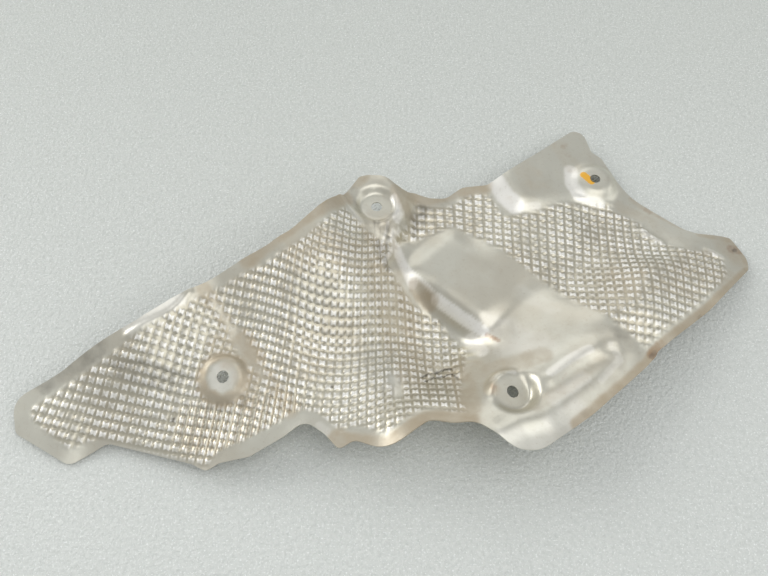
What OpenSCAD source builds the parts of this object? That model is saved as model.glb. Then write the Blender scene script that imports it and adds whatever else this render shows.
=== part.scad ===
// Steering gear heat shield: one pressed aluminium sheet with a waffle emboss and four fixing holes.
// X runs along the sheet, Y across it and Z is up. The origin lies on the ground under the middle of
// the outer box, and the sheet rests on its valley foot, its left tip and its right upper edge.

/* [Sheet] */
// Length of the sheet along X in mm
sheet_l = 452; // [370:1:550]
// Width of the sheet along Y in mm
sheet_w = 245; // [200:1:300]
// Height of the pressed form in mm
form_h = 56; // [45:1:70]
// Thickness of the sheet in mm
sheet_t = 0.8; // [0.6:0.1:1.2]
// Softness of the bends between the plates of the form in mm
bend_soft = 15; // [12:0.5:20]

/* [Emboss] */
// Number of emboss cells along the sheet
cell_cols = 72; // [50:1:88]
// Number of emboss cells across the sheet
cell_rows = 40; // [28:1:48]
// Height of one emboss pyramid in mm
cell_h = 0.9; // [0.2:0.1:1.5]
// Width of the plain rim round the emboss in mm
rim_w = 6; // [4:0.5:12]

/* [Fixing holes] */
// Diameter of the four fixing holes in mm
hole_d = 7; // [5:0.1:9]
// Radius of the flat pad round each fixing hole in mm
pad_r = 10; // [8:0.5:15]
// Width of the soft wall between a pad and the form in mm
pad_wall = 6; // [4:0.5:8]
// Rise of the pad on the left wing over the form in mm
left_pad_rise = 2.5; // [0:0.5:7]
// Depth of the dish in the upper middle boss in mm
boss_dish = 3.5; // [0:0.5:5]
// Depth of the recess at the head of the lower right channel in mm
channel_recess = 3; // [0:0.5:5]
// Rise of the boss on the upper right lobe in mm
lobe_boss_rise = 4; // [0:0.5:5]

/* [Pressed details] */
// Width of the soft step round the flat panels in mm
panel_step = 12; // [5:0.5:16]
// Height of the rib along the lower left side of the middle panel in mm
panel_rib_h = 1.5; // [0:0.5:4]
// Height of the rib on the upper side of the channel in mm
upper_rib_h = 3; // [0:0.5:4]
// Height of the rib on the lower side of the channel in mm
lower_rib_h = 3.5; // [0:0.5:4]
// Height of the sharp fold beside the upper middle boss in mm
boss_fold_h = 2; // [0:0.5:4]
// Half width of the ribs in mm
rib_half_w = 5; // [4:0.5:7]
// Depth of the shallow valley between the left wing and the middle hump in mm
wing_valley_d = 2.5; // [0:0.5:5]
// Half width of that valley in mm
wing_valley_half_w = 12; // [8:0.5:16]

/* [Hidden] */

// The plan below is drawn at the natural size of the sheet, and is stretched to the sizes set above.
// Corners of the outline, clockwise from the left tip: x, y and corner radius.
corners = [
    [-222.5, -102, 4], [-227, -83.5, 11], [-174, -55, 60], [-154, -46, 30], [-122, -24.5, 40], [-92, -8, 40],
    [-78, -3.5, 20], [-65.5, 4.5, 30], [-36, 38.5, 10], [-26, 55.5, 4], [-20, 57.5, 8], [-10, 58, 10], [1.5, 49, 8],
    [9, 54, 4], [20, 54, 12], [30.5, 56, 12], [42, 66.5, 12], [59, 69, 6], [69.5, 75, 10], [98, 98.5, 80],
    [130, 126, 7], [135.3, 102.5, 5], [142, 98, 4], [149, 81, 10], [160, 68, 14], [190, 40, 20], [198, 36, 14],
    [219.5, 34, 5], [227, 17.5, 10], [226, 9, 8], [190, -26, 120], [150, -58, 4], [148, -61.5, 3], [141, -68.5, 4],
    [106, -98.5, 40], [66.5, -127, 19], [40, -105.5, 12], [27, -106.5, 12], [14.5, -103.5, 8], [-7, -120, 19],
    [-26.5, -112.5, 6], [-35, -118, 3], [-43, -109, 8], [-54.5, -100.5, 8], [-66, -109, 20], [-85, -119, 6],
    [-102, -121.5, 4], [-109.5, -125.5, 4], [-118, -121, 10], [-168.5, -108, 8], [-189.5, -120, 7]];
arc_steps = 3;
plan_h = 56;
// A plain cell gets an apex where its diagonals lie further than this off the form.
apex_from = 0.2;

// Plates of the form: x, y, height at that place, slope along X and slope along Y.
left_wing = [
    [-205, -95, 9, 0.10, 0.25],
    [-165, -65, 28, 0.20, 0.45],
    [-160, -103, 9, 0.15, 0.35],
    [-125, -45, 36, -0.05, 0.40],
    [-115, -88, 20, 0.10, 0.35]];
middle_hump = [
    [-90, -25, 40, 0.10, 0.40],
    [-80, -65, 29, 0.10, 0.20],
    [-85, -108, 18, 0.15, 0.20],
    [-55, 5, 55, -0.15, 0.10],
    [-45, -35, 39, -0.15, 0.55],
    [-35, -75, 24, -0.15, 0.05],
    [-30, -108, 25, 0.05, -0.05]];
steep_side = [
    [-12, 45, 38, -0.30, 0.05],
    [-20, 15, 37, -0.70, 0.05],
    [-8, -25, 22, -0.65, 0.25],
    [0, -65, 13, -0.25, -0.20],
    [15, -98, 31, 0.10, -0.45]];
valley = [
    [20, -40, 2, -0.05, 0.10],
    [18, 30, 17, -0.05, 0.10],
    [58, 58, 15, -0.05, 0.05],
    [60, -5, 16, 0.05, 0.05]];
right_dome = [
    [45, -65, 17, 0.30, -0.35],
    [60, -110, 35, -0.05, -0.15],
    [85, -50, 24, 0.15, -0.15],
    [105, -88, 28, -0.10, -0.05],
    [140, -62, 24, -0.15, 0.05]];
right_field = [
    [95, 25, 14, -0.05, -0.05],
    [130, -12, 21, 0.20, -0.35],
    [100, 88, 13, -0.15, 0],
    [138, 75, 6, -0.15, -0.05],
    [150, 30, 8, -0.05, -0.20],
    [165, -20, 22, -0.35, 0.05],
    [185, 50, 3, -0.05, -0.15],
    [205, 10, 10, -0.25, -0.10]];
plates = concat(left_wing, middle_hump, steep_side, valley, right_dome, right_field);

// Flat panels pressed into the form: the outline, and a plate that gives the plane.
panels = [
    [[[-37, 38], [-22, 20], [-11, 17], [2, 28], [4, 50], [-8, 62], [-26, 60]], [-15, 37, 40, -0.10, 0.05]],
    [[[-1, 1], [31, 31], [86, -9], [50, -39.5]], [40, -2, 20, -0.06, 0.02]],
    [[[66, 80], [66, 70], [80, 50], [116, 60], [143, 58], [160, 90], [135, 130], [100, 118]],
     [105, 88, 14.5, -0.17, 0]]];

// Ribs and folds: the line on the plan, the height and the half width.
ribs = [
    [[[-122, -20], [-92, -52], [-62, -94]], -wing_valley_d, wing_valley_half_w],
    [[[0, -2], [22, -19], [44, -38], [54, -43]], panel_rib_h, rib_half_w],
    [[[78, -81], [91, -71], [105.5, -61.5], [112, -59.5]], upper_rib_h, rib_half_w],
    [[[52, -112], [62.5, -106], [78, -101.5], [91.5, -92.5], [111, -78.5], [122, -70], [126.5, -61.5], [125, -55]],
     lower_rib_h, rib_half_w],
    [[[-39, 37], [-24, 20]], boss_fold_h, rib_half_w]];

// Pads round the fixing holes: centre on the plan, rise over the form, slope along X and along Y.
pads = [
    [[-102, -76], left_pad_rise, 0.05, 0.30],
    [[-15, 36], -boss_dish, -0.05, 0],
    [[62, -85], -channel_recess, -0.35, 0.10],
    [[133.5, 76], lobe_boss_rise, -0.05, 0]];

// Areas without emboss: the panel with the dome and channel, the upper middle boss and the upper right lobe.
plain_areas = [
    [[-8, 0], [0, 17], [35, 33], [64, 16], [90, -10], [113, -32], [139, -54], [150, -63], [72, -130],
     [42, -112], [33, -91], [38, -66], [42, -51], [25, -27], [6, -18]],
    [[-43, 36], [-34, 28], [-21, 18], [-10, 14], [1, 26], [8, 41], [8, 65], [-25, 62]],
    [[57, 70], [69, 46], [87, 48], [109, 58], [137, 60], [155, 64], [165, 100], [130, 136], [95, 108]]];

function unit(v) = v / norm(v);
function sum(v, k = 0, total = 0) = k == len(v) ? total : sum(v, k + 1, total + v[k]);
function smooth(t) = let (s = max(0, min(1, t))) s * s * (3 - 2 * s);
function mix(a, b, t) = a * (1 - t) + b * t;

// Rounded outline.
function corner_arc(a, b, c, r) =
    let (u = unit(a - b), w = unit(c - b), half = acos(u * w) / 2, sweep = 180 - 2 * half,
         centre = b + unit(u + w) * (r / sin(half)), start = b + u * (r / tan(half)) - centre,
         turn = u.x * w.y - u.y * w.x > 0 ? -1 : 1)
    [for (k = [0 : arc_steps])
        let (q = turn * sweep * k / arc_steps)
        centre + [start.x * cos(q) - start.y * sin(q), start.x * sin(q) + start.y * cos(q)]];
corner_n = len(corners);
function corner_at(k) = let (c = corners[(k + corner_n) % corner_n]) [c.x, c.y];
plan_outline = [for (k = [0 : corner_n - 1])
    each corner_arc(corner_at(k - 1), corner_at(k), corner_at(k + 1), corners[k][2])];
plan_x = [for (q = plan_outline) q.x];
plan_y = [for (q = plan_outline) q.y];
plan_mid = [(min(plan_x) + max(plan_x)) / 2, (min(plan_y) + max(plan_y)) / 2];
plan_size = [max(plan_x) - min(plan_x), max(plan_y) - min(plan_y)];
stretch = [sheet_l / plan_size.x, sheet_w / plan_size.y];
rise = form_h / plan_h;
function to_sheet(q) = [(q.x - plan_mid.x) * stretch.x, (q.y - plan_mid.y) * stretch.y];
function to_plan(p) = [p.x / stretch.x + plan_mid.x, p.y / stretch.y + plan_mid.y];
outline = [for (q = plan_outline) to_sheet(q)];
corner_xy = [for (c = corners) to_sheet(c)];

// Distance inside a polygon: positive inside, negative outside.
function seg_dist(p, a, b) =
    let (d = b - a, t = max(0, min(1, (p - a) * d / (d * d))))
    norm(p - a - d * t);
function line_dist(p, line) = min([for (k = [0 : len(line) - 2]) seg_dist(p, line[k], line[k + 1])]);
function crossings(p, poly, k = 0, odd = false) =
    k == len(poly) ? odd :
    let (a = poly[k], b = poly[(k + 1) % len(poly)],
         hit = (a.y > p.y) != (b.y > p.y) && p.x < a.x + (p.y - a.y) * (b.x - a.x) / (b.y - a.y))
    crossings(p, poly, k + 1, hit ? !odd : odd);
function depth_in(p, poly) =
    let (d = line_dist(p, concat(poly, [poly[0]])))
    crossings(p, poly) ? d : -d;

// Height of the middle of the sheet over a place on the plan.
function plate_z(q, plate) = plate[2] + plate[3] * (q.x - plate.x) + plate[4] * (q.y - plate.y);
function plate_share(q, plate) =
    exp(-(pow(q.x - plate.x, 2) + pow(q.y - plate.y, 2)) / (2 * bend_soft * bend_soft));
function broad_z(q) =
    let (shares = [for (plate = plates) plate_share(q, plate)],
         heights = [for (plate = plates) plate_z(q, plate)])
    shares * heights / sum(shares);
function panel_z(q, z, k = 0) =
    k == len(panels) ? z :
    panel_z(q, mix(z, plate_z(q, panels[k][1]), smooth(depth_in(q, panels[k][0]) / panel_step + 0.5)), k + 1);
function rib_z(q) = sum([for (rib = ribs) rib[1] * exp(-pow(line_dist(q, rib[0]) / rib[2], 2))]);
function form_z(q) = rise * (panel_z(q, broad_z(q)) + rib_z(q));
pad_xy = [for (pad = pads) to_sheet(pad[0])];
pad_z = [for (pad = pads) form_z(pad[0]) + pad[1]];
function on_pad(p, z, k = 0) =
    k == len(pads) ? z :
    let (plane = pad_z[k] + pads[k][2] * (p.x - pad_xy[k].x) + pads[k][3] * (p.y - pad_xy[k].y))
    on_pad(p, mix(z, plane, smooth((pad_r + pad_wall - norm(p - pad_xy[k])) / pad_wall)), k + 1);
function sheet_z(q) = on_pad(to_sheet(q), form_z(q));

// Lattice of the emboss: rows run down to the right on the plan and bend with the sheet.
// Its nodes near a pad move onto the rim of the pad or onto the foot of its wall, so the pads are round.
pitch_x = plan_size.x / cell_cols;
pitch_y = plan_size.y / cell_rows;
cell_size = (sheet_l / cell_cols + sheet_w / cell_rows) / 2;
function round_off(d) =
    abs(d - pad_r - pad_wall / 4) < pad_wall / 4 + 0.01 || (d < pad_r && d > pad_r - cell_size * 0.45) ? pad_r :
    d > pad_r + pad_wall / 2 && d < pad_r + pad_wall + cell_size * 0.45 ? pad_r + pad_wall : d;
function round_pads(p, k = 0) =
    k == len(pads) ? p :
    let (away = p - pad_xy[k], d = norm(away))
    round_pads(d < 0.01 ? p : pad_xy[k] + away * (round_off(d) / d), k + 1);
function lattice(i, j) =
    let (u = i * pitch_x, v = j * pitch_y)
    to_plan(round_pads(to_sheet([u + 0.07 * v, v - 0.16 * u + 0.00047 * u * u])));
i_end = ceil(cell_cols / 2) + 3;
j_end = ceil(cell_rows / 2) + 9;
col_n = 2 * i_end + 1;
row_n = 2 * j_end + 1;
centres = [for (j = [-j_end : j_end - 1]) [for (i = [-i_end : i_end - 1]) lattice(i + 0.5, j + 0.5)]];
depths = [for (row = centres) [for (q = row) depth_in(to_sheet(q), corner_xy)]];
reach = 0.8 * max(pitch_x * stretch.x, pitch_y * stretch.y);
spans = [for (row = depths)
    let (hits = [for (i = [0 : len(row) - 1]) if (row[i] > -reach) i])
    len(hits) == 0 ? [1, 0] : [hits[0], hits[len(hits) - 1]]];
function kept(i, j) = j >= 0 && j < row_n - 1 && i >= spans[j][0] && i <= spans[j][1];
cells = [for (j = [0 : row_n - 2]) for (i = [spans[j][0] : 1 : spans[j][1]]) [i, j]];

// Heights at the lattice nodes, and half the thickness measured straight up.
used = [for (j = [0 : row_n - 1]) [for (i = [0 : col_n - 1])
    kept(i, j) || kept(i - 1, j) || kept(i, j - 1) || kept(i - 1, j - 1)]];
nodes_xy = [for (j = [-j_end : j_end]) [for (i = [-i_end : i_end]) lattice(i, j)]];
nodes_z = [for (j = [0 : row_n - 1]) [for (i = [0 : col_n - 1]) used[j][i] ? sheet_z(nodes_xy[j][i]) : 0]];
function slope(i, j, di, dj, pitch) =
    let (fore = used[j + dj][i + di], back = used[j - dj][i - di],
         rise_z = (fore ? nodes_z[j + dj][i + di] : nodes_z[j][i]) - (back ? nodes_z[j - dj][i - di] : nodes_z[j][i]))
    rise_z / (pitch * max(1, (fore ? 1 : 0) + (back ? 1 : 0)));
half_t = [for (j = [0 : row_n - 1]) [for (i = [0 : col_n - 1])
    used[j][i] ? sheet_t / 2 * norm([1, slope(i, j, 1, 0, pitch_x * stretch.x), slope(i, j, 0, 1, pitch_y * stretch.y)]) : 0]];
function node_depth(q) = depth_in(to_sheet(q), corner_xy);
ground = min([for (j = [0 : row_n - 1]) for (i = [0 : col_n - 1])
    if (used[j][i] && node_depth(nodes_xy[j][i]) > 0) nodes_z[j][i] - half_t[j][i]]);

function off_pads(p) = min([for (c = pad_xy) norm(p - c)]) > pad_r + pad_wall / 2;
centre_z = [for (c = cells) sheet_z(centres[c.y][c.x])];
function off_plain(q) = max([for (area = plain_areas) depth_in(q, area)]) < 0;
embossed = [for (c = cells)
    let (q = centres[c.y][c.x])
    depths[c.y][c.x] > rim_w + pitch_x / 2 && off_pads(to_sheet(q)) && off_plain(q)];

// A plain cell is split along the diagonal that lies nearer the form, and gets an apex where both lie far off.
function z_at(c, i, j) = nodes_z[c.y + j][c.x + i];
miss_ac = [for (k = [0 : len(cells) - 1]) abs(z_at(cells[k], 0, 0) + z_at(cells[k], 1, 1) - 2 * centre_z[k]) / 2];
miss_bd = [for (k = [0 : len(cells) - 1]) abs(z_at(cells[k], 1, 0) + z_at(cells[k], 0, 1) - 2 * centre_z[k]) / 2];
peaked = [for (k = [0 : len(cells) - 1]) embossed[k] || (depths[cells[k].y][cells[k].x] > 0 && min(miss_ac[k], miss_bd[k]) > apex_from)];

// Points of the sheet: top nodes, bottom nodes, top apexes and bottom apexes.
function upper(i, j) = [to_sheet(nodes_xy[j][i]).x, to_sheet(nodes_xy[j][i]).y, nodes_z[j][i] + half_t[j][i] - ground];
function lower(i, j) = [to_sheet(nodes_xy[j][i]).x, to_sheet(nodes_xy[j][i]).y, nodes_z[j][i] - half_t[j][i] - ground];
function apex(k, side) =
    let (c = cells[k], q = centres[c.y][c.x], p = to_sheet(q),
         half = (half_t[c.y][c.x] + half_t[c.y][c.x + 1] + half_t[c.y + 1][c.x] + half_t[c.y + 1][c.x + 1]) / 4)
    [p.x, p.y, centre_z[k] + (embossed[k] ? cell_h : 0) + side * half - ground];
grid_n = col_n * row_n;
cell_n = len(cells);
points = concat(
    [for (j = [0 : row_n - 1]) for (i = [0 : col_n - 1]) upper(i, j)],
    [for (j = [0 : row_n - 1]) for (i = [0 : col_n - 1]) lower(i, j)],
    [for (k = [0 : cell_n - 1]) apex(k, 1)],
    [for (k = [0 : cell_n - 1]) apex(k, -1)]);
function at(i, j) = j * col_n + i;
function wall(a, b) = [[a, b, grid_n + b], [a, grid_n + b, grid_n + a]];
faces = [for (k = [0 : cell_n - 1])
    let (i = cells[k].x, j = cells[k].y, a = at(i, j), b = at(i + 1, j), c = at(i + 1, j + 1), d = at(i, j + 1),
         top = 2 * grid_n + k, low = top + cell_n, g = grid_n)
    each concat(
        peaked[k] ? [[a, top, b], [b, top, c], [c, top, d], [d, top, a],
                     [g + a, g + b, low], [g + b, g + c, low], [g + c, g + d, low], [g + d, g + a, low]] :
        miss_ac[k] < miss_bd[k] ? [[a, c, b], [a, d, c], [g + a, g + b, g + c], [g + a, g + c, g + d]]
                                : [[a, d, b], [b, d, c], [g + a, g + b, g + d], [g + b, g + c, g + d]],
        kept(i, j - 1) ? [] : wall(a, b),
        kept(i + 1, j) ? [] : wall(b, c),
        kept(i, j + 1) ? [] : wall(c, d),
        kept(i - 1, j) ? [] : wall(d, a))];

// Bore of a fixing hole, square to its pad.
module bore(k) {
    axis = unit([-pads[k][2], -pads[k][3], 1]);
    translate([pad_xy[k].x, pad_xy[k].y, pad_z[k] - ground])
    rotate([0, acos(axis.z), atan2(axis.y, axis.x)])
    cylinder(d = hole_d, h = 12, center = true, $fn = 48);
}

module shield_sheet() {
    color("silver")
    difference() {
        intersection() {
            polyhedron(points = points, faces = faces, convexity = 8);
            translate([0, 0, -20]) linear_extrude(height = form_h + 60) polygon(outline);
        }
        for (k = [0 : len(pads) - 1]) bore(k);
    }
}

shield_sheet();
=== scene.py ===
# Steering gear heat shield: one embossed aluminium sheet on a pale floor.
import math

import bpy
import numpy as np
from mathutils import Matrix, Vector


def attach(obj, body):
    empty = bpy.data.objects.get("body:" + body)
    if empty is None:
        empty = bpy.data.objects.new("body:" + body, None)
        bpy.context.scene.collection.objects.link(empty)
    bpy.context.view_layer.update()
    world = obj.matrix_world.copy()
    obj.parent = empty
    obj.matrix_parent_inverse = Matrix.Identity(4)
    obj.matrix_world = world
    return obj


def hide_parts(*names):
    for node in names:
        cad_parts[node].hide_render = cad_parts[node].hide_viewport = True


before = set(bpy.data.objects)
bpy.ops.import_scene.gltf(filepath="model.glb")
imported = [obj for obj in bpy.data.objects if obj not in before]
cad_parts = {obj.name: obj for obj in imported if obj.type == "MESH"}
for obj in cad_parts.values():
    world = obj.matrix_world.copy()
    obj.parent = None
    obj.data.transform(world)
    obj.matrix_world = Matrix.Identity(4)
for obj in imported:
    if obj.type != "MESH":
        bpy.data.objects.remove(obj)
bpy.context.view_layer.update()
mm = 0.001


# Camera, lights and render settings

cameraSetup = {
    "place": (-0.01107, -0.25159, 0.4356),
    "tiltDown": 30,          # degrees from straight down
    "lens": 36.56,           # mm
    "sensorWidth": 36,       # mm
    "viewStart": 0.01,       # metres in front of the lens
}

lampSetup = [                # name, place, width in metres, power in watts
    ("leftWindow", (-3.90, 1.80, 1.60), 3.40, 120.0),
    ("backWindow", (0.10, 4.50, 3.00), 3.00, 25.0),
    ("overheadLight", (1.40, -1.10, 3.70), 3.80, 62.0),
    ("rightWindow", (4.20, 0.30, 1.00), 2.40, 15.0),
]

worldLight = {"colour": (0.96, 0.98, 1.0), "strength": 0.50}


def buildCamera(setup):
    data = bpy.data.cameras.new("photoCamera")
    data.lens = setup["lens"]
    data.sensor_width = setup["sensorWidth"]
    data.clip_start = setup["viewStart"]
    camera = bpy.data.objects.new("photoCamera", data)
    camera.location = setup["place"]
    camera.rotation_euler = (math.radians(setup["tiltDown"]), 0, 0)
    bpy.context.scene.collection.objects.link(camera)
    bpy.context.scene.camera = camera


def buildLamp(name, place, width, power):
    data = bpy.data.lights.new(name, "AREA")
    data.size = width
    data.energy = power
    lamp = bpy.data.objects.new(name, data)
    lamp.location = place
    towardsOrigin = -Vector(place)
    lamp.rotation_euler = towardsOrigin.to_track_quat("-Z", "Y").to_euler()
    bpy.context.scene.collection.objects.link(lamp)


def buildWorld(light):
    world = bpy.data.worlds.new("roomLight")
    world.use_nodes = True
    background = world.node_tree.nodes["Background"]
    background.inputs["Color"].default_value = (*light["colour"], 1)
    background.inputs["Strength"].default_value = light["strength"]
    bpy.context.scene.world = world


buildCamera(cameraSetup)
for lampValues in lampSetup:
    buildLamp(*lampValues)
buildWorld(worldLight)
bpy.context.scene.view_settings.view_transform = "Standard"
print("camera, lamps and world are set")


# Form of the sheet, in mm on a plan; the middle of the plan's box becomes the origin

sheetForm = {
    "length": 452,
    "width": 245,
    "thickness": 0.8,
    "bendSoftness": 15,                  # how softly one plate turns into the next
    "cornerSteps": 6,                    # straight steps round each corner of the outline
    "holeRadius": 3.5,
    "cellPitch": 5.3,                    # size of one emboss cell
    "cellNodes": (0, 0.22, 0.50, 0.78),  # mesh nodes over one cell: groove, cap edge, dent, cap edge
    "columnRange": (-55, 49),            # cells along the sheet, counted from the origin
    "rowRange": (-36, 30),               # cells across it
    "snapDistance": 0.45,                # mesh nodes this near to an edge move onto it
    "rimWidth": 5.5,                     # plain rim outside the emboss
    "rimFade": 12,                       # how far a change of the rim's width reaches
    "padWallShare": 0.6,                 # share of a pad's wall that stays plain
    "crispAngle": 60,                    # degrees; the cut edges and the deeper grooves stay crisp
}

outlineCorners = [           # x, y, corner radius, clockwise from the left tip
    (-222.5, -102, 4), (-227, -83.5, 11), (-174, -55, 60), (-154, -46, 30), (-122, -24.5, 40),
    (-92, -8, 40), (-78, -3.5, 20), (-65.5, 4.5, 30), (-36, 38.5, 10), (-26, 55.5, 4), (-20, 57.5, 8),
    (-10, 58, 10), (1.5, 49, 8), (9, 54, 4), (20, 54, 12), (30.5, 56, 12), (42, 66.5, 12), (59, 69, 6),
    (69.5, 75, 10), (98, 98.5, 80), (130, 126, 7), (135.3, 102.5, 5), (142, 98, 4), (149, 81, 10),
    (160, 68, 14), (190, 40, 20), (198, 36, 14), (219.5, 34, 5), (227, 17.5, 10), (226, 9, 8),
    (190, -26, 120), (150, -58, 4), (148, -61.5, 3), (141, -68.5, 4), (106, -98.5, 40),
    (66.5, -127, 19), (40, -105.5, 12), (27, -106.5, 12), (14.5, -103.5, 8), (-7, -120, 19),
    (-26.5, -112.5, 6), (-35, -118, 3), (-43, -109, 8), (-54.5, -100.5, 8), (-66, -109, 20),
    (-85, -119, 6), (-102, -121.5, 4), (-109.5, -125.5, 4), (-118, -121, 10), (-168.5, -108, 8),
    (-189.5, -120, 7),
]

plates = {                   # x, y, height, slope along x, slope along y
    "leftWing": [
        (-205, -95, 9, 0.10, 0.25), (-165, -65, 28, 0.20, 0.45), (-160, -103, 9, 0.15, 0.35),
        (-125, -45, 36, -0.05, 0.40), (-115, -88, 20, 0.10, 0.35),
    ],
    "middleHump": [
        (-90, -25, 40, 0.10, 0.40), (-80, -65, 29, 0.10, 0.20), (-85, -108, 18, 0.15, 0.20),
        (-55, 5, 55, -0.15, 0.10), (-45, -35, 39, -0.15, 0.55), (-35, -75, 24, -0.15, 0.05),
        (-30, -108, 25, 0.05, -0.05),
    ],
    "steepSide": [
        (-12, 45, 38, -0.30, 0.05), (-20, 15, 37, -0.70, 0.05), (-8, -25, 22, -0.65, 0.25),
        (0, -65, 13, -0.25, -0.20), (15, -98, 31, 0.10, -0.45),
    ],
    "valley": [
        (20, -40, 2, -0.05, 0.10), (18, 30, 17, -0.05, 0.10), (58, 58, 15, -0.05, 0.05),
        (60, -5, 16, 0.05, 0.05),
    ],
    "rightDome": [
        (45, -65, 17, 0.30, -0.35), (60, -110, 35, -0.05, -0.15), (85, -50, 24, 0.15, -0.15),
        (105, -88, 28, -0.10, -0.05), (140, -62, 24, -0.15, 0.05),
    ],
    "rightField": [
        (95, 25, 14, -0.05, -0.05), (130, -12, 21, 0.20, -0.35), (100, 88, 13, -0.15, 0),
        (138, 75, 6, -0.15, -0.05), (150, 30, 8, -0.05, -0.20), (165, -20, 22, -0.35, 0.05),
        (185, 50, 3, -0.05, -0.15), (205, 10, 10, -0.25, -0.10),
    ],
}

panels = {                   # outline, plane as a plate, width of the soft step
    "upperBoss": ([(-37, 38), (-22, 20), (-11, 17), (2, 28), (4, 50), (-8, 62), (-26, 60)],
                  (-15, 37, 40, -0.10, 0.05), 7),
    "middlePanel": ([(-1, 1), (31, 31), (86, -9), (50, -39.5)], (40, -2, 18.5, -0.06, 0.02), 13),
    "upperRightLobe": ([(66, 80), (66, 70), (80, 50), (116, 60), (143, 58), (160, 90), (135, 130),
                        (100, 118)], (105, 88, 14.5, -0.17, 0), 12),
}

# A panel's corners are rounded by averaging its step over these shifts in mm.
cornerSoftening = [(0, 0), (5, 0), (-5, 0), (0, 5), (0, -5)]
cornerSoftening += [(3.5, 3.5), (3.5, -3.5), (-3.5, 3.5), (-3.5, -3.5)]

ribs = {                     # line, height, half width; a hollow has a negative height
    "wingValley": ([(-122, -20), (-92, -52), (-62, -94)], -2.5, 12.0),
    "panelRib": ([(0, -2), (22, -19), (44, -38), (54, -43)], 1.5, 5.5),
    "channelUpperRib": ([(83, -77), (91, -71), (105.5, -61.5), (112, -59.5)], 2.4, 7.0),
    "channelLowerRib": ([(52, -112), (62.5, -106), (78, -101.5), (91.5, -92.5), (111, -78.5), (122, -70),
                         (126.5, -61.5), (125, -55)], 3.0, 7.5),
    "bossFold": ([(-39, 37), (-24, 20)], 2.0, 2.5),
    "upperLeftFold": ([(-158, -53.5), (-145, -46.5), (-134, -40.5), (-130, -37), (-127, -33), (-124, -28)],
                      1.1, 1.8),
    "wrinkleNearBoss": ([(-18, 8), (-13, -9)], 1.2, 1.8),
    "wrinkleAtPanel": ([(-9, 16), (-10, -3)], 1.2, 1.8),
    "wrinkleUnderNeck": ([(-1, 23), (-9, 11)], 1.5, 1.9),
    "wrinkleHollow": ([(-15, 23), (-17, 9)], -1.2, 1.8),
    "wrinkleLong": ([(-5, 22), (-6, 8), (-12, -4)], 1.4, 1.7),
    "wrinkleCross": ([(-12, 20), (-3, 16)], -1.2, 1.6),
    "valleyCrackUpper": ([(12, -69), (17, -65.5), (21, -65), (26, -62.5), (30, -63)], -1.3, 1.5),
    "valleyCrackLower": ([(14, -73), (19, -69), (25, -69), (30, -67), (34, -73)], -1.1, 1.4),
    "wingRowFold": ([(-168, -67), (-144, -70), (-122, -76)], -0.6, 2.2),
    "wingRowFoldLower": ([(-150, -75), (-132, -78)], -0.5, 2.0),
    "lobeFold": ([(120, 62), (132, 61), (143, 60)], 0.8, 1.6),
    "fieldCornerFold": ([(160, 38), (171, 27)], 1.4, 2.4),
    "tipFold": ([(200, 21), (208, 16)], 1.2, 2.2),
    "panelHollow": ([(6, -8), (13, -13), (18, -17)], -1.0, 5.0),
    "domeWrinkle": ([(34, -64), (41, -61)], 0.7, 1.3),
    "domeWrinkleUpper": ([(34, -57), (42, -56)], 0.7, 1.3),
    "domeWrinkleTop": ([(35, -50), (43, -50)], 0.7, 1.3),
    "domeWrinkleLower": ([(31, -70), (38, -66)], 0.7, 1.3),
}

pads = {                     # centre, rise over the form, slopes, flat radius, wall width
    "leftWing": ((-102, -76), 2.5, (0.05, 0.30), 9.0, 6.5),
    "upperBoss": ((-15, 36), -3.5, (-0.05, 0.0), 9.0, 6.0),
    "channel": ((62, -85), -3.0, (-0.35, 0.10), 9.0, 8.0),
    "upperRight": ((133.5, 76), 4.0, (-0.05, 0.0), 7.0, 12.0),
}

plainAreas = {
    "domeAndChannel": [(-8, 0), (0, 17), (35, 33), (64, 16), (90, -10), (113, -32), (139, -54), (150, -63),
                       (72, -130), (42, -112), (33, -91), (38, -66), (42, -51), (25, -27), (6, -18)],
    "upperBoss": [(-43, 36), (-34, 28), (-21, 18), (-10, 14), (1, 26), (8, 41), (8, 65), (-25, 62)],
    "upperRightLobe": [(57, 70), (69, 46), (87, 48), (109, 58), (137, 60), (155, 64), (165, 100), (130, 136),
                       (95, 108)],
    "rightTip": [(143, 64), (143, 57), (161, 47), (172, 27), (188, 20), (205, 20), (210, 11), (209, -2),
                 (235, 0), (235, 45), (160, 80)],
}

# Where the emboss lies on the plan. At distance u along the sheet, x is the place of row leanRow
# and y the place of row 0, the columns lean by so much, and the rows stand at this share of the pitch.
embossLattice = [
    {"u": -272, "x": -255.5, "y": 51, "lean": 0.42, "spacing": 0.95},
    {"u": -192, "x": -181, "y": 31, "lean": 0.36, "spacing": 0.95},
    {"u": -129, "x": -123.5, "y": 15, "lean": 0.18, "spacing": 0.94},
    {"u": -91, "x": -87.5, "y": 4, "lean": 0.17, "spacing": 0.90},
    {"u": -60, "x": -56.5, "y": -8, "lean": 0.07, "spacing": 0.88},
    {"u": -36, "x": -33.5, "y": -9.5, "lean": 0.03, "spacing": 0.88},
    {"u": 0, "x": 0, "y": 4, "lean": -0.06, "spacing": 0.92},
    {"u": 27, "x": 26, "y": 7, "lean": -0.02, "spacing": 0.98},
    {"u": 62, "x": 60, "y": 3, "lean": 0.05, "spacing": 1.00},
    {"u": 126, "x": 120, "y": -9, "lean": 0.12, "spacing": 1.00},
    {"u": 256, "x": 245, "y": -24, "lean": 0.18, "spacing": 0.94},
]
leanRow = -90                # the columns lean about this row, in mm across the sheet
kinkShifts = (-9, -4, 0, 4, 9)  # the table is averaged over these shifts in mm, so that no kink is left

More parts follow.
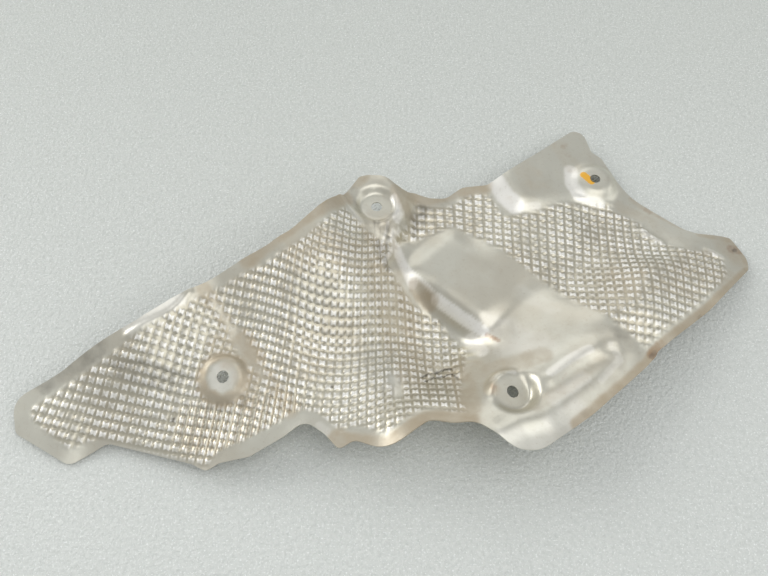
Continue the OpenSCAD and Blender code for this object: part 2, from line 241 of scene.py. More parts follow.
plainCreases = {             # line and half width of a smooth band between two embossed fields
    "wingCrease": ([(-110, -32), (-98, -50), (-86, -66), (-80, -74)], 0.2),
    "wingCreaseBroad": ([(-97, -50), (-88, -64)], 3.4),
    "lowerFold": ([(-6, -73), (-2, -79), (-2, -85)], 1.5),
}

rimChanges = {               # line, wider or narrower rim near it
    "upperLeftGrey": ([(-208, -74), (-172, -55)], 4.5),
    "leftTip": ([(-225, -86), (-217, -104)], 4.5),
    "leftTipLower": ([(-215, -105), (-190, -118)], 2.0),
    "lowerLeft": ([(-163, -110), (-120, -120), (-108, -124)], -5.5),
    "lowerMiddle": ([(-97, -121), (-60, -106)], 3.5),
    "humpTop": ([(-82, -4), (-62, 8), (-46, 28)], 4.0),
    "lowerLobe": ([(-22, -114), (-6, -118), (12, -106)], 3.5),
}


def smooth(value):
    share = np.clip(value, 0, 1)
    return share * share * share * (share * (6 * share - 15) + 10)


def mix(first, second, share):
    return first * (1 - share) + second * share


def roundedOutline(corners):
    steps = sheetForm["cornerSteps"]
    points = []
    for k, (x, y, radius) in enumerate(corners):
        before = np.array(corners[k - 1][:2], float)
        here = np.array((x, y), float)
        after = np.array(corners[(k + 1) % len(corners)][:2], float)
        back = (before - here) / np.linalg.norm(before - here)
        ahead = (after - here) / np.linalg.norm(after - here)
        half = math.acos(float(back @ ahead)) / 2
        centre = here + (back + ahead) / np.linalg.norm(back + ahead) * radius / math.sin(half)
        start = here + back * radius / math.tan(half) - centre
        turn = -1 if back[0] * ahead[1] - back[1] * ahead[0] > 0 else 1
        for i in range(steps + 1):
            angle = turn * (math.pi - 2 * half) * i / steps
            points.append(centre + [start[0] * math.cos(angle) - start[1] * math.sin(angle),
                                    start[0] * math.sin(angle) + start[1] * math.cos(angle)])
    return np.array(points)


def segmentDistance(x, y, start, end):
    dx, dy = end[0] - start[0], end[1] - start[1]
    along = np.clip(((x - start[0]) * dx + (y - start[1]) * dy) / (dx * dx + dy * dy), 0, 1)
    return np.hypot(x - start[0] - along * dx, y - start[1] - along * dy)


def lineDistance(x, y, line):
    return np.min([segmentDistance(x, y, start, end) for start, end in zip(line[:-1], line[1:])], axis=0)


def depthIn(x, y, polygon):
    # Distance in mm to the polygon's edge, positive inside and negative outside.
    closed = list(polygon) + [polygon[0]]
    inside = np.zeros(np.shape(x), bool)
    for start, end in zip(closed[:-1], closed[1:]):
        if start[1] != end[1]:
            crosses = (start[1] > y) != (end[1] > y)
            inside ^= crosses & (x < start[0] + (y - start[1]) * (end[0] - start[0]) / (end[1] - start[1]))
    distance = lineDistance(x, y, closed)
    return np.where(inside, distance, -distance)


def plateHeight(x, y, plate):
    return plate[2] + plate[3] * (x - plate[0]) + plate[4] * (y - plate[1])


def formHeight(x, y):
    # The plates blend into one form, and then come the flat panels, the ribs and the creases.
    total = np.zeros(np.shape(x))
    shares = np.zeros(np.shape(x))
    for plate in [plate for group in plates.values() for plate in group]:
        away = (x - plate[0]) ** 2 + (y - plate[1]) ** 2
        share = np.exp(-away / (2 * sheetForm["bendSoftness"] ** 2))
        total += share * plateHeight(x, y, plate)
        shares += share
    z = total / shares
    for polygon, plane, step in panels.values():
        share = sum(smooth(depthIn(x + dx, y + dy, polygon) / step + 0.5) for dx, dy in cornerSoftening)
        z = mix(z, plateHeight(x, y, plane), share / len(cornerSoftening))
    for line, height, halfWidth in ribs.values():
        z = z + height * np.exp(-(lineDistance(x, y, line) / halfWidth) ** 2)
    return z


def padHeight(name):
    centre, rise = pads[name][:2]
    return float(formHeight(np.array(float(centre[0])), np.array(float(centre[1])))) + rise


def sheetHeight(x, y):
    z = formHeight(x, y)
    for name, (centre, rise, slopes, flatRadius, wall) in pads.items():
        plane = padHeight(name) + slopes[0] * (x - centre[0]) + slopes[1] * (y - centre[1])
        away = np.hypot(x - centre[0], y - centre[1])
        z = mix(z, plane, smooth((flatRadius + wall - away) / wall))
    return z


def softLine(u, name):
    stations = [row["u"] for row in embossLattice]
    values = [row[name] for row in embossLattice]
    return sum(np.interp(u + shift, stations, values) for shift in kinkShifts) / len(kinkShifts)


def latticePlace(u, v):
    # The rows of the emboss bend with the sheet, the columns lean, and both close up over the hump.
    x = softLine(u, "x") + softLine(u, "lean") * (v - leanRow)
    return x, softLine(u, "y") + softLine(u, "spacing") * v


def embossRoom(x, y, edgeDepth):
    # Distance in mm into the embossed field, negative on the plain rim, pads, panels and creases.
    rim = np.full(np.shape(x), float(sheetForm["rimWidth"]))
    for line, extra in rimChanges.values():
        rim += extra * np.exp(-(lineDistance(x, y, line) / sheetForm["rimFade"]) ** 2)
    room = edgeDepth - rim
    for area in plainAreas.values():
        room = np.minimum(room, -depthIn(x, y, area))
    for line, halfWidth in plainCreases.values():
        room = np.minimum(room, lineDistance(x, y, line) - halfWidth)
    for centre, _, _, flatRadius, wall in pads.values():
        padEdge = np.hypot(x - centre[0], y - centre[1]) - flatRadius
        room = np.minimum(room, padEdge - sheetForm["padWallShare"] * wall)
    return room


# Marks on the metal, stains as well as painted shade and painted highlights: line, half width in mm,
# strength. A spot is a very short line.

marks = {
    "tan": [
        # The first three tan marks are painted shade along the wing's crease, beside the left pad and down
        # the steep side; the others brown the metal in patches and along the rims.
        ([(-119, -22), (-105, -40), (-95, -53), (-86, -65), (-78, -74), (-62, -94)], 5, 0.55),
        ([(-104, -59), (-88, -70), (-88, -86)], 9, 0.55),
        ([(-14, 20), (-8, -20), (2, -50), (8, -62)], 14, 0.45),
        ([(-90, -8), (-72, 3), (-50, 22), (-36, 36)], 7, 0.75),
        ([(9, -10), (15, -15), (19, -18)], 5, 0.75),
        ([(-89, -76), (-92, -67), (-102, -63), (-112, -67), (-115, -76), (-112, -85), (-102, -89),
          (-92, -85), (-89, -76)], 3.6, 0.85),
        ([(-92, -52), (-84, -64)], 6, 0.75),
        ([(33, -68), (37, -80), (36, -96)], 8, 0.60),
        ([(44, -70), (64, -67), (82, -62)], 6, 0.50),
        ([(36, -60), (44, -64), (50, -84)], 5, 0.45),
        ([(72, -96), (86, -88), (104, -74), (114, -66)], 4, 0.35),
        ([(96, -106), (122, -85), (143, -67), (150, -58), (190, -26), (225, 6)], 5.0, 0.90),
        ([(-60, -10), (-54, 2), (-36, -5), (-20, -3)], 11, 0.40),
        ([(227, 14), (221, 32), (200, 36)], 4, 0.60),
        ([(160, 66), (190, 42)], 3, 0.50),
        ([(-36, -112), (-8, -118), (14, -103), (36, -104)], 6, 0.75),
        ([(2, 50), (20, 55), (40, 64), (58, 68)], 6, 0.70),
        ([(112, 104), (120, 88)], 7, 0.35),
        ([(84, 82), (92, 72)], 9, 0.30),
        ([(-30, 50), (-24, 56)], 5, 0.45),
        ([(-2, 48), (4, 36)], 5, 0.55),
        ([(150, 60), (170, 46)], 5, 0.35),
        ([(196, 0), (214, -4)], 10, 0.40),
        ([(215, 26), (224, 14)], 9, 0.40),
        ([(140, -12), (176, -4), (190, 8)], 16, 0.35),
        ([(-200, -98), (-196, -110)], 6, 0.30),
    ],
    "paintedShadeAndSpecks": [
        # Most dark marks are painted shade: under the left pad, along the wing's row folds, in the valley's
        # cracks, beside the wrinkles, left of the upper boss and along the edge right of it. The short spots
        # are dark specks on the metal.
        ([(-112, -91), (-100, -94), (-88, -88)], 5, 0.30),
        ([(-168, -67), (-144, -70), (-122, -77)], 3.0, 0.40),
        ([(-160, -72), (-130, -80)], 5.0, 0.35),
        ([(-118, -60), (-150, -62), (-176, -76)], 6.0, 0.20),
        ([(12, -69), (17, -65.5), (21, -65), (26, -62.5), (30, -63)], 1.0, 0.90),
        ([(14, -73), (19, -69), (25, -69), (30, -67), (34, -73)], 0.8, 0.85),
        ([(-15, 24), (-13, 6), (-9, -4)], 2.5, 0.45),
        ([(-8, 22), (-9, 8)], 1.5, 0.50),
        ([(-4, 26), (10, 34), (14, 44)], 6, 0.45),
        ([(14, 44), (34, 52), (52, 60)], 5, 0.25),
        ([(181, -33), (183, -31)], 1.6, 0.35),
        ([(145, -62), (148, -59)], 1.8, 0.45),
        ([(219, 23), (221, 24)], 1.8, 0.65),
        ([(222, 8), (224, 6)], 2.0, 0.35),
        ([(-130, -97.5), (-130, -97)], 0.8, 0.9),
        ([(-75, -78), (-74, -78)], 0.6, 0.8),
        ([(-41, -81), (-39, -81)], 0.6, 0.8),
        ([(-176, -58), (-196, -67), (-208, -74)], 8, 0.40),
        ([(99, -100), (106, -94)], 2.5, 0.30),
        ([(134, -52), (126, -42)], 8, 0.25),
        ([(-29, 45), (-27, 30)], 3, 0.35),
        ([(50, -106), (54, -103)], 2.5, 0.30),
    ],
    "rust": [
        ([(52, -42), (59, -48)], 1.6, 0.55),
        ([(218, 24), (222, 24)], 4.0, 0.60),
        ([(90, -79), (93, -76)], 1.4, 0.40),
        ([(51, -88), (51, -83)], 1.8, 0.35),
        ([(146, -61), (152, -54)], 4.0, 0.45),
        ([(-118, -84), (-116, -80)], 1.6, 0.35),
        ([(168, 58), (170, 56)], 2.5, 0.40),
        ([(116, 104), (118, 98)], 4.0, 0.30),
    ],
    "paintedHighlight": [
        # Pale marks are painted highlights: on walls, ribs, folds and the dome where light catches them, and
        # as a ring round the left pad's hole.
        ([(-96, -76), (-98, -72), (-102, -70), (-106, -72), (-108, -76), (-106, -80), (-102, -82),
          (-98, -80), (-96, -76)], 2.8, 0.45),
        ([(-157, -49), (-130, -33)], 4.5, 0.60),
        ([(-6, -79), (-3, -71)], 6.0, 0.35),
        ([(-36, 36), (-24, 21)], 2.0, 0.60),
        ([(161, 38), (170, 28)], 2.5, 0.60),
        ([(201, 20), (208, 16)], 2.0, 0.50),
        ([(54, -118), (72, -116), (96, -98)], 8.0, 0.45),
        ([(84, -92), (102, -78)], 5.0, 0.45),
        ([(25, 28), (12, 21), (2, 13)], 6.0, 0.15),
        ([(43, -43), (48, -53)], 5.0, 0.65),
        ([(-3, 13), (2, 1), (7, -8)], 3.8, 0.85),
        ([(0, 4), (10, -4), (20, -13)], 1.6, 0.70),
        ([(50, -36), (64, -40)], 9.0, 0.40),
        ([(60, -53), (80, -51)], 8.0, 0.40),
        ([(-42, -108), (-46, -104)], 3.0, 0.45),
        ([(56, -36), (74, -50), (84, -58)], 9.0, 0.30),
        ([(22, -17), (32, -25), (44, -34.5), (51, -40)], 3.0, 1.0),
        ([(65, 71), (70, 60), (77, 52)], 6.0, 1.0),
        ([(80, 50), (92, 53)], 3.0, 0.50),
        ([(118, 84), (117, 72), (121, 64)], 5.0, 0.85),
        ([(121, 64), (128, 60), (136, 59)], 3.5, 0.60),
        ([(-5, 21), (-6, 9), (-11, -3)], 1.2, 0.80),
        ([(-1, 23), (-9, 12)], 1.2, 0.70),
        ([(-8, 24), (-11, 14), (-14, 2)], 1.0, 0.70),
        ([(74, -14), (92, -28)], 6.0, 0.30),
        ([(84, -75), (96, -66), (108, -60)], 3.2, 0.55),
        ([(121, -57), (125, -66), (112, -79)], 2.6, 0.45),
        ([(51, -78), (56, -73), (64, -73)], 1.8, 0.60),
        ([(-4, 42), (0, 34), (-3, 28)], 2.6, 0.85),
    ],
    "paint": [
        ([(126, 79), (130.5, 73.5)], 2.6, 1.0),
    ],
    "pleat": [
        # Where the narrow folds lie; the hollow of each fold is painted darker as painted shade.
        ([(-116, -102), (-90, -100), (-68, -96)], 14, 1.0),
        ([(-98, -112), (-84, -110)], 8, 1.0),
    ],
}


def markValues(x, y, lines):
    # A mark has its full strength along its line and half of it one half width away.
    values = np.zeros(np.shape(x))
    for line, halfWidth, strength in lines:
        values = np.maximum(values, strength * smooth(1.5 - lineDistance(x, y, line) / halfWidth))
    return values


# The sheet's mesh: a lattice that follows the emboss, cut to the outline and the holes

def metalDepth(x, y, outline):
    # Distance in mm to the outline or to a hole's edge, positive on the metal.
    depth = depthIn(x, y, outline)
    for centre, *_ in pads.values():
        depth = np.minimum(depth, np.hypot(x - centre[0], y - centre[1]) - sheetForm["holeRadius"])
    return depth


def snapToEdge(x, y, outline):
    # Nodes that lie nearly on an edge move onto it, so that no sliver is left.
    depth = metalDepth(x, y, outline)
    near = np.abs(depth) < sheetForm["snapDistance"]
    nearX, nearY = x[near], y[near]
    step = 0.02
    slopeX = metalDepth(nearX + step, nearY, outline) - metalDepth(nearX - step, nearY, outline)
    slopeY = metalDepth(nearX, nearY + step, outline) - metalDepth(nearX, nearY - step, outline)
    x[near] -= depth[near] * (slopeX / (2 * step))
    y[near] -= depth[near] * (slopeY / (2 * step))
    depth[near] = 0
    return depth


def cutCells(nodes, depth, outline):
    # A cell wholly on the metal stays as it is, and one that crosses an edge is cut there.
    # The new nodes on the cuts are added to the lists of nodes.
    columnCount = depth.shape[1]
    flatDepth = depth.ravel()
    halvings = 12
    cuts = {}

    def cutPoint(first, second):
        key = (min(first, second), max(first, second))
        if key not in cuts:
            inner, outer = (first, second) if flatDepth[first] > flatDepth[second] else (second, first)
            low, high = 0.0, 1.0
            for _ in range(halvings):
                half = (low + high) / 2
                x, y = (np.array(mix(nodes[name][inner], nodes[name][outer], half)) for name in "xy")
                if metalDepth(x, y, outline) > 0:
                    low = half
                else:
                    high = half
            for values in nodes.values():
                values.append(mix(values[inner], values[outer], low))
            cuts[key] = len(nodes["x"]) - 1
        return cuts[key]

    def cutLoop(loop):
        kept = []
        for here, after in zip(loop, loop[1:] + loop[:1]):
            if flatDepth[here] >= 0:
                kept.append(here)
            if (flatDepth[here] > 0 > flatDepth[after]) or (flatDepth[here] < 0 < flatDepth[after]):
                kept.append(cutPoint(here, after))
        return kept

    corners = [depth[:-1, :-1], depth[1:, :-1], depth[:-1, 1:], depth[1:, 1:]]
    whole = np.min(corners, axis=0) >= 0
    onMetal = np.max(corners, axis=0) > 0
    faces = []
    for row, column in zip(*np.nonzero(onMetal)):
        first = row * columnCount + column
        loop = [first, first + 1, first + columnCount + 1, first + columnCount]
        if not whole[row, column]:
            loop = cutLoop(loop)
        if len(loop) >= 3:
            faces.append(loop)
    return faces


def latticeLines(cellRange):
    # Where the mesh's columns or rows lie, in mm along or across the emboss.
    places = [cell + part for cell in range(*cellRange) for part in sheetForm["cellNodes"]]
    return np.array([place * sheetForm["cellPitch"] for place in places])


def buildSheetMesh():
    outline = roundedOutline(outlineCorners)
    lowest, highest = outline.min(0), outline.max(0)
    middle = (lowest + highest) / 2
    stretch = np.array([sheetForm["length"], sheetForm["width"]]) / (highest - lowest)
    outline = [tuple(point) for point in outline]

    u, v = np.meshgrid(latticeLines(sheetForm["columnRange"]), latticeLines(sheetForm["rowRange"]))
    x, y = latticePlace(u, v)
    depth = snapToEdge(x, y, outline)
    nodes = {name: list(values.ravel()) for name, values in (("x", x), ("y", y), ("u", u), ("v", v))}
    faces = cutCells(nodes, depth, outline)

    # Only the nodes that a face uses are kept, under new numbers.
    used = np.unique(np.concatenate([np.array(face) for face in faces]))
    newIndex = -np.ones(len(nodes["x"]), int)
    newIndex[used] = np.arange(len(used))
    x, y, u, v = (np.array(values)[used] for values in nodes.values())
    z = sheetHeight(x, y)
    ground = z.min() - sheetForm["thickness"] / 2
    points = np.stack([(x - middle[0]) * stretch[0], (y - middle[1]) * stretch[1], z - ground], 1) * mm

    mesh = bpy.data.meshes.new("shieldSheet")
    mesh.from_pydata(points.tolist(), [], [[int(newIndex[node]) for node in face] for face in faces])
    layers = {
        "cellU": u / sheetForm["cellPitch"],
        "cellV": v / sheetForm["cellPitch"],
        "embossRoom": embossRoom(x, y, depthIn(x, y, outline)),
    }
    for name, lines in marks.items():
        layers[name + "Mark"] = markValues(x, y, lines)
    for name, values in layers.items():
        layer = mesh.attributes.new(name, "FLOAT", "POINT")
        layer.data.foreach_set("value", values.astype(np.float32))
    mesh.validate()
    mesh.update()
    print("sheet mesh:", len(mesh.vertices), "points,", len(mesh.polygons), "faces")
    return mesh


# Nodes

def addNode(tree, kind, **settings):
    node = tree.nodes.new(kind)
    for name, value in settings.items():
        setattr(node, name, value)
    return node


def fillSocket(tree, socket, given):
    # A socket is given a link, a colour or a number; None leaves it as it is.
    if isinstance(given, bpy.types.NodeSocket):
        tree.links.new(given, socket)
    elif isinstance(given, tuple):
        socket.default_value = (*given, 1)
    elif given is not None:
        socket.default_value = given


def mathNode(tree, operation, first, second=None, third=None):
    node = addNode(tree, "ShaderNodeMath", operation=operation)
    for socket, given in zip(node.inputs, (first, second, third)):
        fillSocket(tree, socket, given)
    return node.outputs[0]


def mapRange(tree, value, low, high, newLow=0.0, newHigh=1.0):
    node = addNode(tree, "ShaderNodeMapRange", interpolation_type="SMOOTHSTEP")
    for socket, given in zip(node.inputs[:5], (value, low, high, newLow, newHigh)):
        fillSocket(tree, socket, given)
    return node.outputs[0]


def colourMix(tree, share, first, second):
    # Several sockets of a colour mix have the same name, so they are found by their place.
    node = addNode(tree, "ShaderNodeMix", data_type="RGBA")
    for index, given in ((0, share), (6, first), (7, second)):
        fillSocket(tree, node.inputs[index], given)
    return node.outputs[2]


def noiseNode(tree, vector, scale, detail, roughness=0.55):
    node = addNode(tree, "ShaderNodeTexNoise")
    tree.links.new(vector, node.inputs["Vector"])
    node.inputs["Scale"].default_value = scale
    node.inputs["Detail"].default_value = detail
    node.inputs["Roughness"].default_value = roughness
    return node.outputs["Fac"]


def addBump(tree, shader, height, strength, distance):
    bump = addNode(tree, "ShaderNodeBump")
    bump.inputs["Strength"].default_value = strength
    bump.inputs["Distance"].default_value = distance
    tree.links.new(height, bump.inputs["Height"])
    tree.links.new(bump.outputs["Normal"], shader.inputs["Normal"])


# The emboss

embossValues = {             # heights in metres, widths as shares of half a cell
    "Emboss height": 0.0009,
    "Cap width": 0.55,
    "Groove width": 1.00,
    "Centre dent": 0.18,
    "Height spread": 0.30,
    "Seed": 7,
}

embossFade = (-0.5, 3.0)     # mm into the embossed field over which the caps and their shine come in


def buildEmbossTree(material):
    tree = bpy.data.node_groups.new("waffleEmboss", "GeometryNodeTree")
    sockets = tree.interface
    sockets.new_socket("Geometry", in_out="INPUT", socket_type="NodeSocketGeometry")
    for name, value in embossValues.items():
        kind = "NodeSocketInt" if isinstance(value, int) else "NodeSocketFloat"
        sockets.new_socket(name, in_out="INPUT", socket_type=kind)
    sockets.new_socket("Geometry", in_out="OUTPUT", socket_type="NodeSocketGeometry")
    start = addNode(tree, "NodeGroupInput")
    end = addNode(tree, "NodeGroupOutput")
    given = start.outputs
    dentWidth = 0.5          # share of half a cell
    rowStride = 613.0        # gives every cell a number of its own

    def attribute(name):
        node = addNode(tree, "GeometryNodeInputNamedAttribute", data_type="FLOAT")
        node.inputs["Name"].default_value = name
        return node.outputs["Attribute"]

    # Each cap stands between four grooves and sinks a little along its two middle lines.
    lift = mapRange(tree, attribute("embossRoom"), *embossFade)
    cells = []
    for name in ("cellU", "cellV"):
        along = attribute(name)
        cells.append(mathNode(tree, "FLOOR", along))
        signed = mathNode(tree, "MULTIPLY_ADD", mathNode(tree, "FRACT", along), 2.0, -1.0)
        fromCentre = mathNode(tree, "ABSOLUTE", signed)
        ramp = mapRange(tree, fromCentre, given["Cap width"], given["Groove width"], 1.0, 0.0)
        dip = mapRange(tree, fromCentre, 0.0, dentWidth, 1.0, 0.0)
        dip = mathNode(tree, "MULTIPLY", dip, given["Centre dent"])
        ramp = mathNode(tree, "MULTIPLY", ramp, mathNode(tree, "SUBTRACT", 1.0, dip))
        lift = mathNode(tree, "MULTIPLY", lift, ramp)

    cellNumber = mathNode(tree, "MULTIPLY_ADD", cells[0], rowStride, cells[1])
    random = addNode(tree, "FunctionNodeRandomValue", data_type="FLOAT")
    tree.links.new(cellNumber, random.inputs["ID"])
    tree.links.new(given["Seed"], random.inputs["Seed"])
    spread = mathNode(tree, "MULTIPLY", random.outputs[1], given["Height spread"])
    height = mathNode(tree, "MULTIPLY", given["Emboss height"], mathNode(tree, "SUBTRACT", 1.0, spread))
    offset = addNode(tree, "ShaderNodeVectorMath", operation="SCALE")
    tree.links.new(addNode(tree, "GeometryNodeInputNormal").outputs[0], offset.inputs[0])
    tree.links.new(mathNode(tree, "MULTIPLY", lift, height), offset.inputs["Scale"])

    move = addNode(tree, "GeometryNodeSetPosition")
    tree.links.new(given["Geometry"], move.inputs["Geometry"])
    tree.links.new(offset.outputs[0], move.inputs["Offset"])
    realize = addNode(tree, "GeometryNodeRealizeInstances")
    tree.links.new(move.outputs["Geometry"], realize.inputs["Geometry"])
    finish = addNode(tree, "GeometryNodeSetMaterial")
    finish.inputs["Material"].default_value = material
    tree.links.new(realize.outputs["Geometry"], finish.inputs["Geometry"])
    tree.links.new(finish.outputs["Geometry"], end.inputs["Geometry"])
    return tree


# The metal

metalLook = {
    "plainColour": (0.67, 0.655, 0.565),
    "fieldColour": (0.55, 0.52, 0.42),
    # The bow ties are painted highlights on the caps.
    "bowTieGlintColour": (0.98, 0.965, 0.91),
    # Pale colour of the painted highlights on the walls, ribs and dome.
    "paintedHighlightColour": (0.97, 0.95, 0.885),
    # Tan serves the stains, and the painted shade in the creases and in the folds' hollows.
    "tanStainAndShadeColour": (0.42, 0.34, 0.23),
    # Dark colour: painted shade in folds, cracks and round the pads, and dark specks.
    "shadeAndSpeckColour": (0.14, 0.13, 0.11),
    "rustColour": (0.32, 0.17, 0.08),
    "paintColour": (0.80, 0.42, 0.04),
    "cloudShare": 0.25,      # how strongly each stain and each painted shade covers the metal
    "tanShare": 0.80,
    "pleatShare": 0.60,
    "rustShare": 0.75,
    "shadeAndSpeckShare": 0.80,
    "speckShare": 0.20,
    "tanOnBowTie": 0.55,     # how much a tan mark takes from the painted bow-tie highlights
    "metallic": 0.80,
    "bowTieGlintMetallic": 0.45,
    "tanDulling": 0.20,      # taken off the metallic value
    "paintedHighlightDulling": 0.22,
    "roughness": 0.30,
    "tanRoughness": 0.15,    # added to the roughness
    "unevenRoughness": 0.12,
    "bumpStrength": 0.4,
    "bumpDistance": 0.0005,
}

metalNoise = {               # scale and detail of each noise
    "cloud": (24.0, 4.0),
    "patch": (60.0, 2.0),
    "dent": (62.0, 1.5),
    "grain": (110.0, 4.0),
    "uneven": (240.0, 2.0),
    "speck": (520.0, 2.0),
}

markEdges = {                # raggedness, and the values at which a mark begins and is whole
    "tan": (0.9, 0.0, 1.1),
    "paintedHighlight": (0.5, 0.1, 1.1),
    "paint": (0.35, 0.35, 0.65),
    "rust": (1.0, 0.15, 0.85),
    "paintedShadeAndSpecks": (0.7, 0.15, 0.85),
}

bowTieForm = {               # shares of a cell from its centre, and the shine at the first and the second
    "ends": (0.26, 0.40, 1.0, 0.0),
    "sides": (0.10, 0.26, 1.0, 0.0),
    "lineAlong": (0.0, 0.08, 0.85, 1.0),
    "lineAcross": (0.0, 0.10, 0.70, 1.0),
}
bowTieSpread = 0.50          # how fast its sides open towards its ends
bowTieRaggedness = 0.06      # in shares of a cell
pleatTurn = 11.5             # radians of the folds' wave over one cell


def buildMetal(look):
    # The metal carries stains and also painted highlights and painted shade.
    material = bpy.data.materials.new("stainedAluminiumWithPaintedLight")
    material.use_nodes = True
    tree = material.node_tree
    shader = tree.nodes["Principled BSDF"]
    place = addNode(tree, "ShaderNodeTexCoord").outputs["Object"]

    def layer(name):
        return addNode(tree, "ShaderNodeAttribute", attribute_name=name).outputs["Fac"]

    def times(first, second):
        return mathNode(tree, "MULTIPLY", first, second)

    def timesPlus(first, second, third):
        return mathNode(tree, "MULTIPLY_ADD", first, second, third)

    noise = {name: noiseNode(tree, place, *values) for name, values in metalNoise.items()}

    def markShare(name):
        raggedness, low, high = markEdges[name]
        uneven = mathNode(tree, "SUBTRACT", noise["grain"], 0.5)
        return mapRange(tree, timesPlus(uneven, raggedness, layer(name + "Mark")), low, high)

    # Each cap gets a painted highlight shaped as a bow tie, narrow on its middle line and parted by a faint
    # dent.
    inEmboss = mapRange(tree, layer("embossRoom"), *embossFade)
    away = {}
    for name in ("cellU", "cellV"):
        fromCentre = mathNode(tree, "SUBTRACT", mathNode(tree, "FRACT", layer(name)), 0.5)
        away[name] = mathNode(tree, "ABSOLUTE", timesPlus(noise["grain"], bowTieRaggedness, fromCentre))
    side = timesPlus(away["cellU"], -bowTieSpread, away["cellV"])
    bowTieGlint = times(inEmboss, mapRange(tree, side, *bowTieForm["sides"]))
    bowTieGlint = times(bowTieGlint, mapRange(tree, away["cellU"], *bowTieForm["ends"]))
    bowTieGlint = times(bowTieGlint, mapRange(tree, away["cellV"], *bowTieForm["lineAlong"]))
    bowTieGlint = times(bowTieGlint, mapRange(tree, away["cellU"], *bowTieForm["lineAcross"]))
    bowTieGlint = times(bowTieGlint, mapRange(tree, noise["patch"], 0.30, 0.62, 0.50, 1.0))
    bowTieGlint = times(bowTieGlint, mapRange(tree, noise["uneven"], 0.34, 0.58, 0.35, 1.0))

    # Narrow folds pushed together beside the lower edge of the left wing; the hollow of each fold is painted
    # tan, a painted shade.
    wave = mathNode(tree, "SINE", times(layer("cellU"), pleatTurn))
    pleat = times(times(wave, layer("pleatMark")), inEmboss)

    # Tan marks: stains, and painted shade along the wing's crease, beside the left pad and down the steep
    # side.
    tan = markShare("tan")
    # Pale marks: painted highlights.
    paintedHighlight = markShare("paintedHighlight")
    paint = markShare("paint")
    cloud = mapRange(tree, noise["cloud"], 0.40, 0.66)
    specks = mapRange(tree, noise["speck"], 0.55, 0.80)
    coats = (                # one over another, the lowest first
        (times(cloud, look["cloudShare"]), "tanStainAndShadeColour"),
        (paintedHighlight, "paintedHighlightColour"),
        (times(tan, look["tanShare"]), "tanStainAndShadeColour"),
        (times(bowTieGlint, timesPlus(tan, -look["tanOnBowTie"], 1.0)), "bowTieGlintColour"),
        (mapRange(tree, pleat, 0.0, 1.0, 0.0, look["pleatShare"]), "tanStainAndShadeColour"),
        (times(markShare("rust"), look["rustShare"]), "rustColour"),
        (times(markShare("paintedShadeAndSpecks"), look["shadeAndSpeckShare"]), "shadeAndSpeckColour"),
        (times(specks, look["speckShare"]), "tanStainAndShadeColour"),
        (paint, "paintColour"),
    )
    colour = colourMix(tree, inEmboss, look["plainColour"], look["fieldColour"])
    for share, name in coats:
        colour = colourMix(tree, share, colour, look[name])
    tree.links.new(colour, shader.inputs["Base Color"])

    metal = mapRange(tree, bowTieGlint, 0.0, 1.0, look["metallic"], look["bowTieGlintMetallic"])
    metal = timesPlus(tan, -look["tanDulling"], metal)
    metal = timesPlus(paintedHighlight, -look["paintedHighlightDulling"], metal)
    tree.links.new(times(metal, mathNode(tree, "SUBTRACT", 1.0, paint)), shader.inputs["Metallic"])
    rough = timesPlus(tan, look["tanRoughness"], look["roughness"])
    rough = timesPlus(noise["grain"], look["unevenRoughness"], rough)
    tree.links.new(rough, shader.inputs["Roughness"])

    # The bow ties stand up, the pleats wave, and the plain metal is softly dented.
    height = timesPlus(bowTieGlint, 0.5, times(noise["grain"], 0.5))
    height = timesPlus(pleat, -0.9, height)
    height = timesPlus(noise["speck"], 0.20, height)
    plainShare = timesPlus(inEmboss, -0.8, 1.0)
    height = timesPlus(noise["dent"], times(plainShare, 1.6), height)
    addBump(tree, shader, height, look["bumpStrength"], look["bumpDistance"])
    return material


def buildSheet():
    material = buildMetal(metalLook)
    sheet = bpy.data.objects.new("shieldSheet", buildSheetMesh())
    bpy.context.scene.collection.objects.link(sheet)
    tree = buildEmbossTree(material)
    emboss = sheet.modifiers.new("emboss", "NODES")
    emboss.node_group = tree
    for item in tree.interface.items_tree:
        if item.item_type == "SOCKET" and item.in_out == "INPUT" and item.name in embossValues:
            emboss[item.identifier] = embossValues[item.name]
    solid = sheet.modifiers.new("thickness", "SOLIDIFY")
    solid.thickness = sheetForm["thickness"] * mm
    solid.offset = 0
    solid.use_even_offset = True
    graph = bpy.context.evaluated_depsgraph_get()
    plainMesh = bpy.data.meshes.new_from_object(sheet.evaluated_get(graph), depsgraph=graph)
    sheet.modifiers.clear()
    sheet.data = plainMesh
    plainMesh.name = "shieldSheet"
    plainMesh.shade_smooth()
    plainMesh.set_sharp_from_angle(angle=math.radians(sheetForm["crispAngle"]))
    print("embossed sheet:", len(plainMesh.polygons), "faces")
    return sheet


sheet = buildSheet()
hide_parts("shield_sheet")
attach(sheet, "root")


# Floor

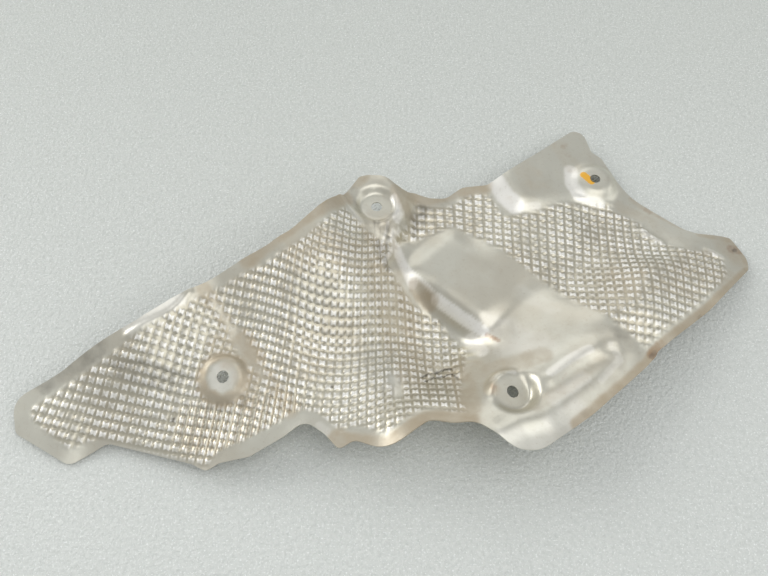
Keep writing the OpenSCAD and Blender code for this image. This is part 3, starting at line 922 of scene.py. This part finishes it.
floorLook = {
    "reach": 3.0,            # metres from the middle to each side
    "paintedLightFade": (-0.25, 0.30),  # metres along Y over which the floor's painted light fades from the near to the far colours
    # The near colours are lighter than the far ones: painted light falling off towards the back.
    "paintedLitNearColour": (0.665, 0.69, 0.655),
    "paintedDimFarColour": (0.565, 0.59, 0.55),
    "paintedLitNearGrain": (0.75, 0.77, 0.735),
    "paintedDimFarGrain": (0.65, 0.67, 0.63),
    "grainNoise": (420.0, 3.0, 0.7),  # scale, detail, roughness
    "fleckColour": (0.98, 1.0, 0.98),
    "fleckNoise": (950.0, 1.0),
    "fleckShare": 0.7,
    "roughness": 0.48,
    "bumpStrength": 0.7,
    "bumpDistance": 0.0022,
}


def buildFloor(look):
    mesh = bpy.data.meshes.new("floor")
    reach = look["reach"]
    corners = [(-reach, -reach, 0), (reach, -reach, 0), (reach, reach, 0), (-reach, reach, 0)]
    mesh.from_pydata(corners, [], [(0, 1, 2, 3)])
    floor = bpy.data.objects.new("floor", mesh)
    bpy.context.scene.collection.objects.link(floor)
    material = bpy.data.materials.new("paleFloor")
    material.use_nodes = True
    tree = material.node_tree
    shader = tree.nodes["Principled BSDF"]
    place = addNode(tree, "ShaderNodeTexCoord").outputs["Object"]
    noise = noiseNode(tree, place, *look["grainNoise"])
    grain = mapRange(tree, noise, 0.3, 0.7)
    fleck = mapRange(tree, noiseNode(tree, place, *look["fleckNoise"]), 0.60, 0.70)
    split = addNode(tree, "ShaderNodeSeparateXYZ")
    tree.links.new(place, split.inputs[0])
    # The floor is painted lighter towards the front, a painted fall-off of the light.
    depth = mapRange(tree, split.outputs["Y"], *look["paintedLightFade"])
    base = colourMix(tree, depth, look["paintedLitNearColour"], look["paintedDimFarColour"])
    grainColour = colourMix(tree, depth, look["paintedLitNearGrain"], look["paintedDimFarGrain"])
    colour = colourMix(tree, grain, base, grainColour)
    fleckShare = mathNode(tree, "MULTIPLY", fleck, look["fleckShare"])
    colour = colourMix(tree, fleckShare, colour, look["fleckColour"])
    tree.links.new(colour, shader.inputs["Base Color"])
    shader.inputs["Roughness"].default_value = look["roughness"]
    addBump(tree, shader, noise, look["bumpStrength"], look["bumpDistance"])
    mesh.materials.append(material)


buildFloor(floorLook)
print("floor is laid")
